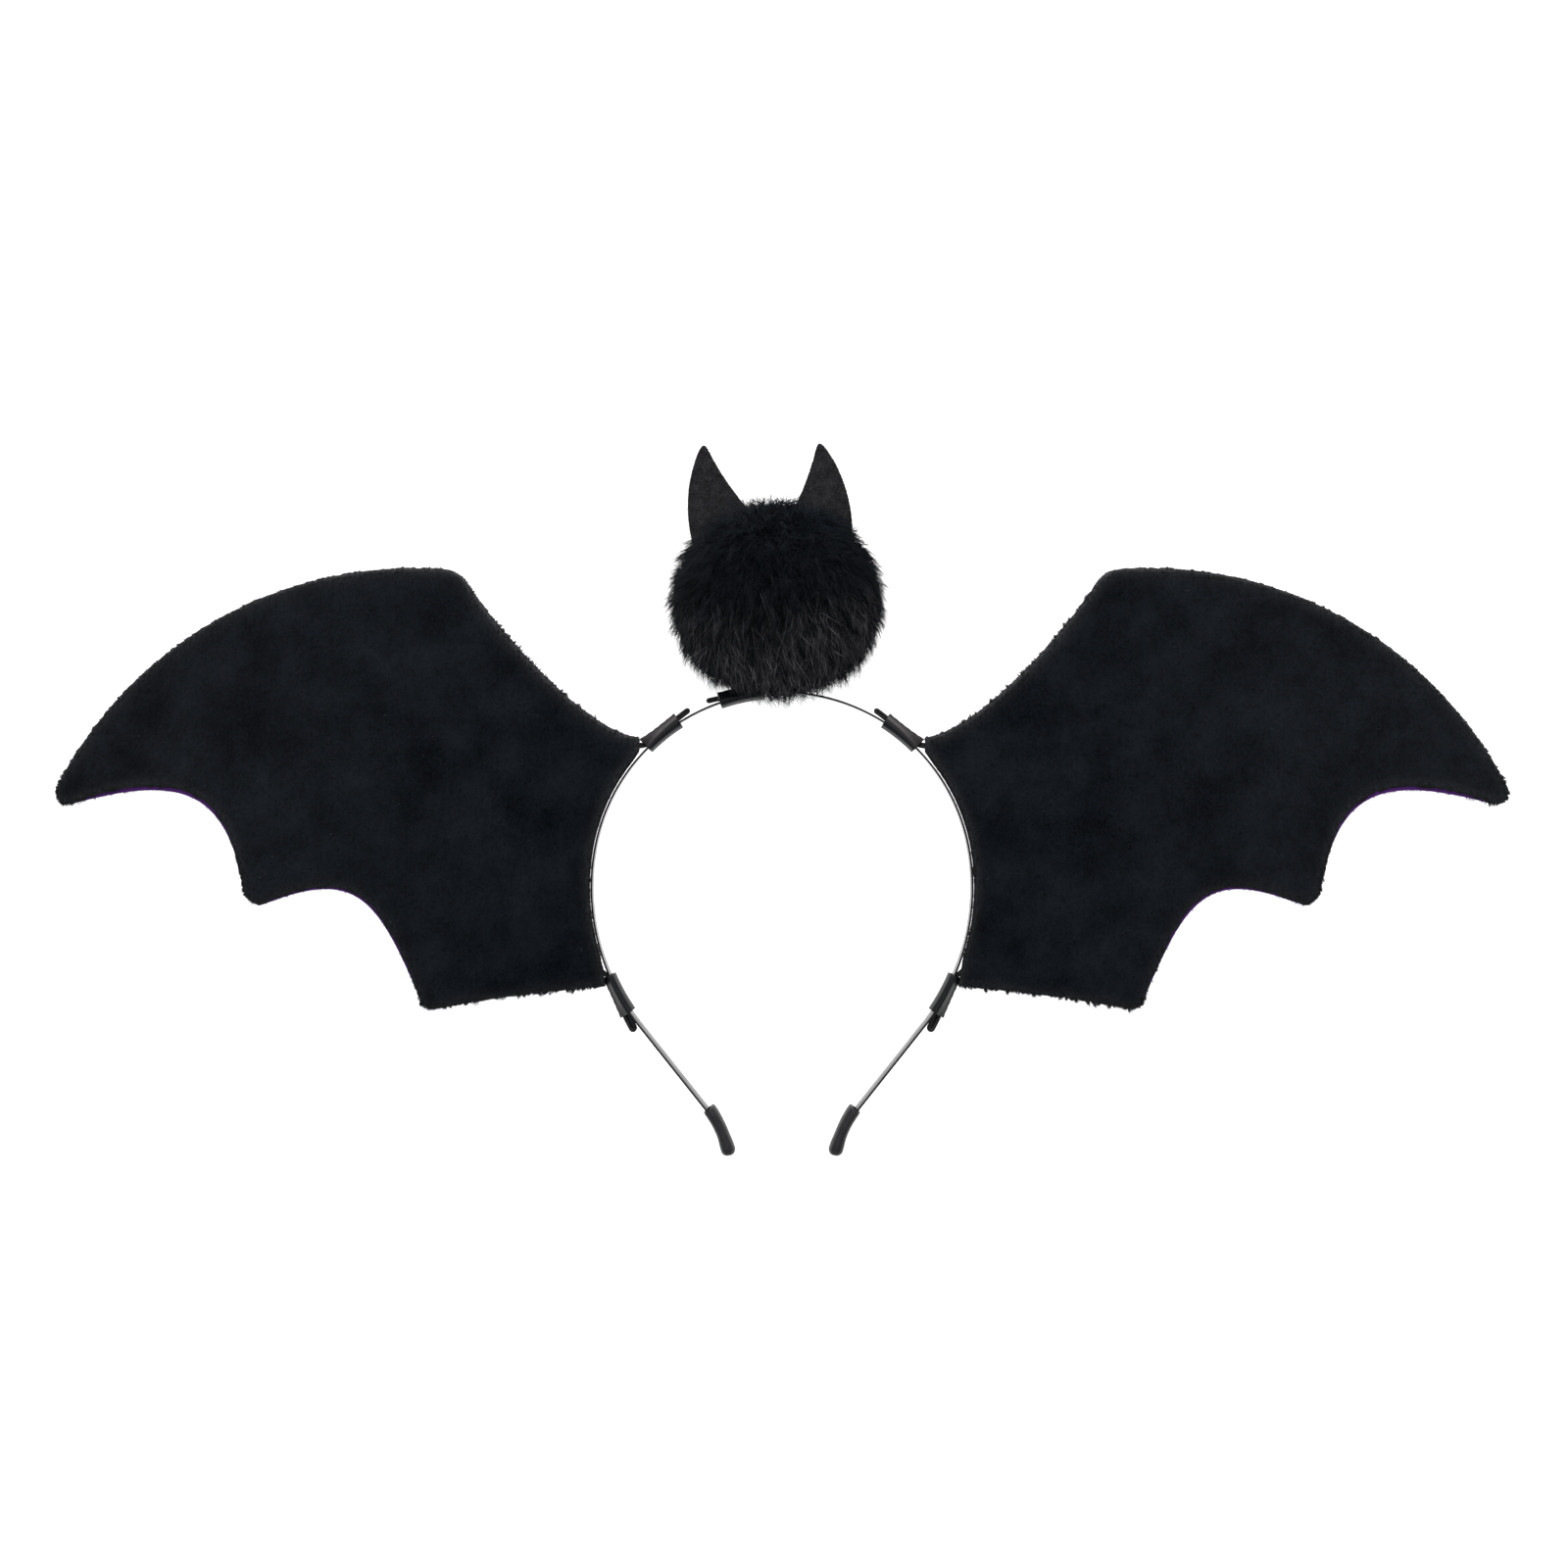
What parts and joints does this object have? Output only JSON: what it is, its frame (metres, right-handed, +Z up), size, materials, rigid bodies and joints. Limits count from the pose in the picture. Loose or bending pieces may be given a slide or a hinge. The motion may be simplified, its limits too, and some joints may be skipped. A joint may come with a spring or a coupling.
{
  "type": "bat headband",
  "caption": "Narrow black metal headband with plush bat wings on wires and a fur ball with felt ears, worn on the head as a costume piece.",
  "frame": {"origin": "middle of the box's base, on the floor that the headband lies on", "axes": "+X along the wing span to the viewer's right, +Y towards the ears, +Z up"},
  "size_m": [0.465, 0.2214, 0.0578],
  "materials": {
    "enamel": "glossy black enamel on spring steel",
    "rubber": "matte black soft rubber with fine lengthwise streaks",
    "sleeve": "satin black shrunk sleeve",
    "wire": "black coated wire",
    "plush": "black short-pile plush",
    "backing": "dark purple felted cloth",
    "fur": "black fur with guard hairs",
    "felt": "dark grey-brown felt"
  },
  "bodies": {
    "root": {"band": "enamel", "end_cap_left": "rubber", "end_cap_right": "rubber", "wing_front_left": "plush", "wing_front_right": "plush", "wing_back_left": "backing", "wing_back_right": "backing", "wing_wire_upper_left": "wire", "wing_wire_upper_right": "wire", "wing_wire_lower_left": "wire", "wing_wire_lower_right": "wire", "sleeve_upper_left": "sleeve", "sleeve_upper_right": "sleeve", "sleeve_lower_left": "sleeve", "sleeve_lower_right": "sleeve", "pompom": "fur", "pompom_wire": "wire", "pompom_sleeve": "sleeve", "ear_left": "felt", "ear_right": "felt"}
  },
  "joints": []
}
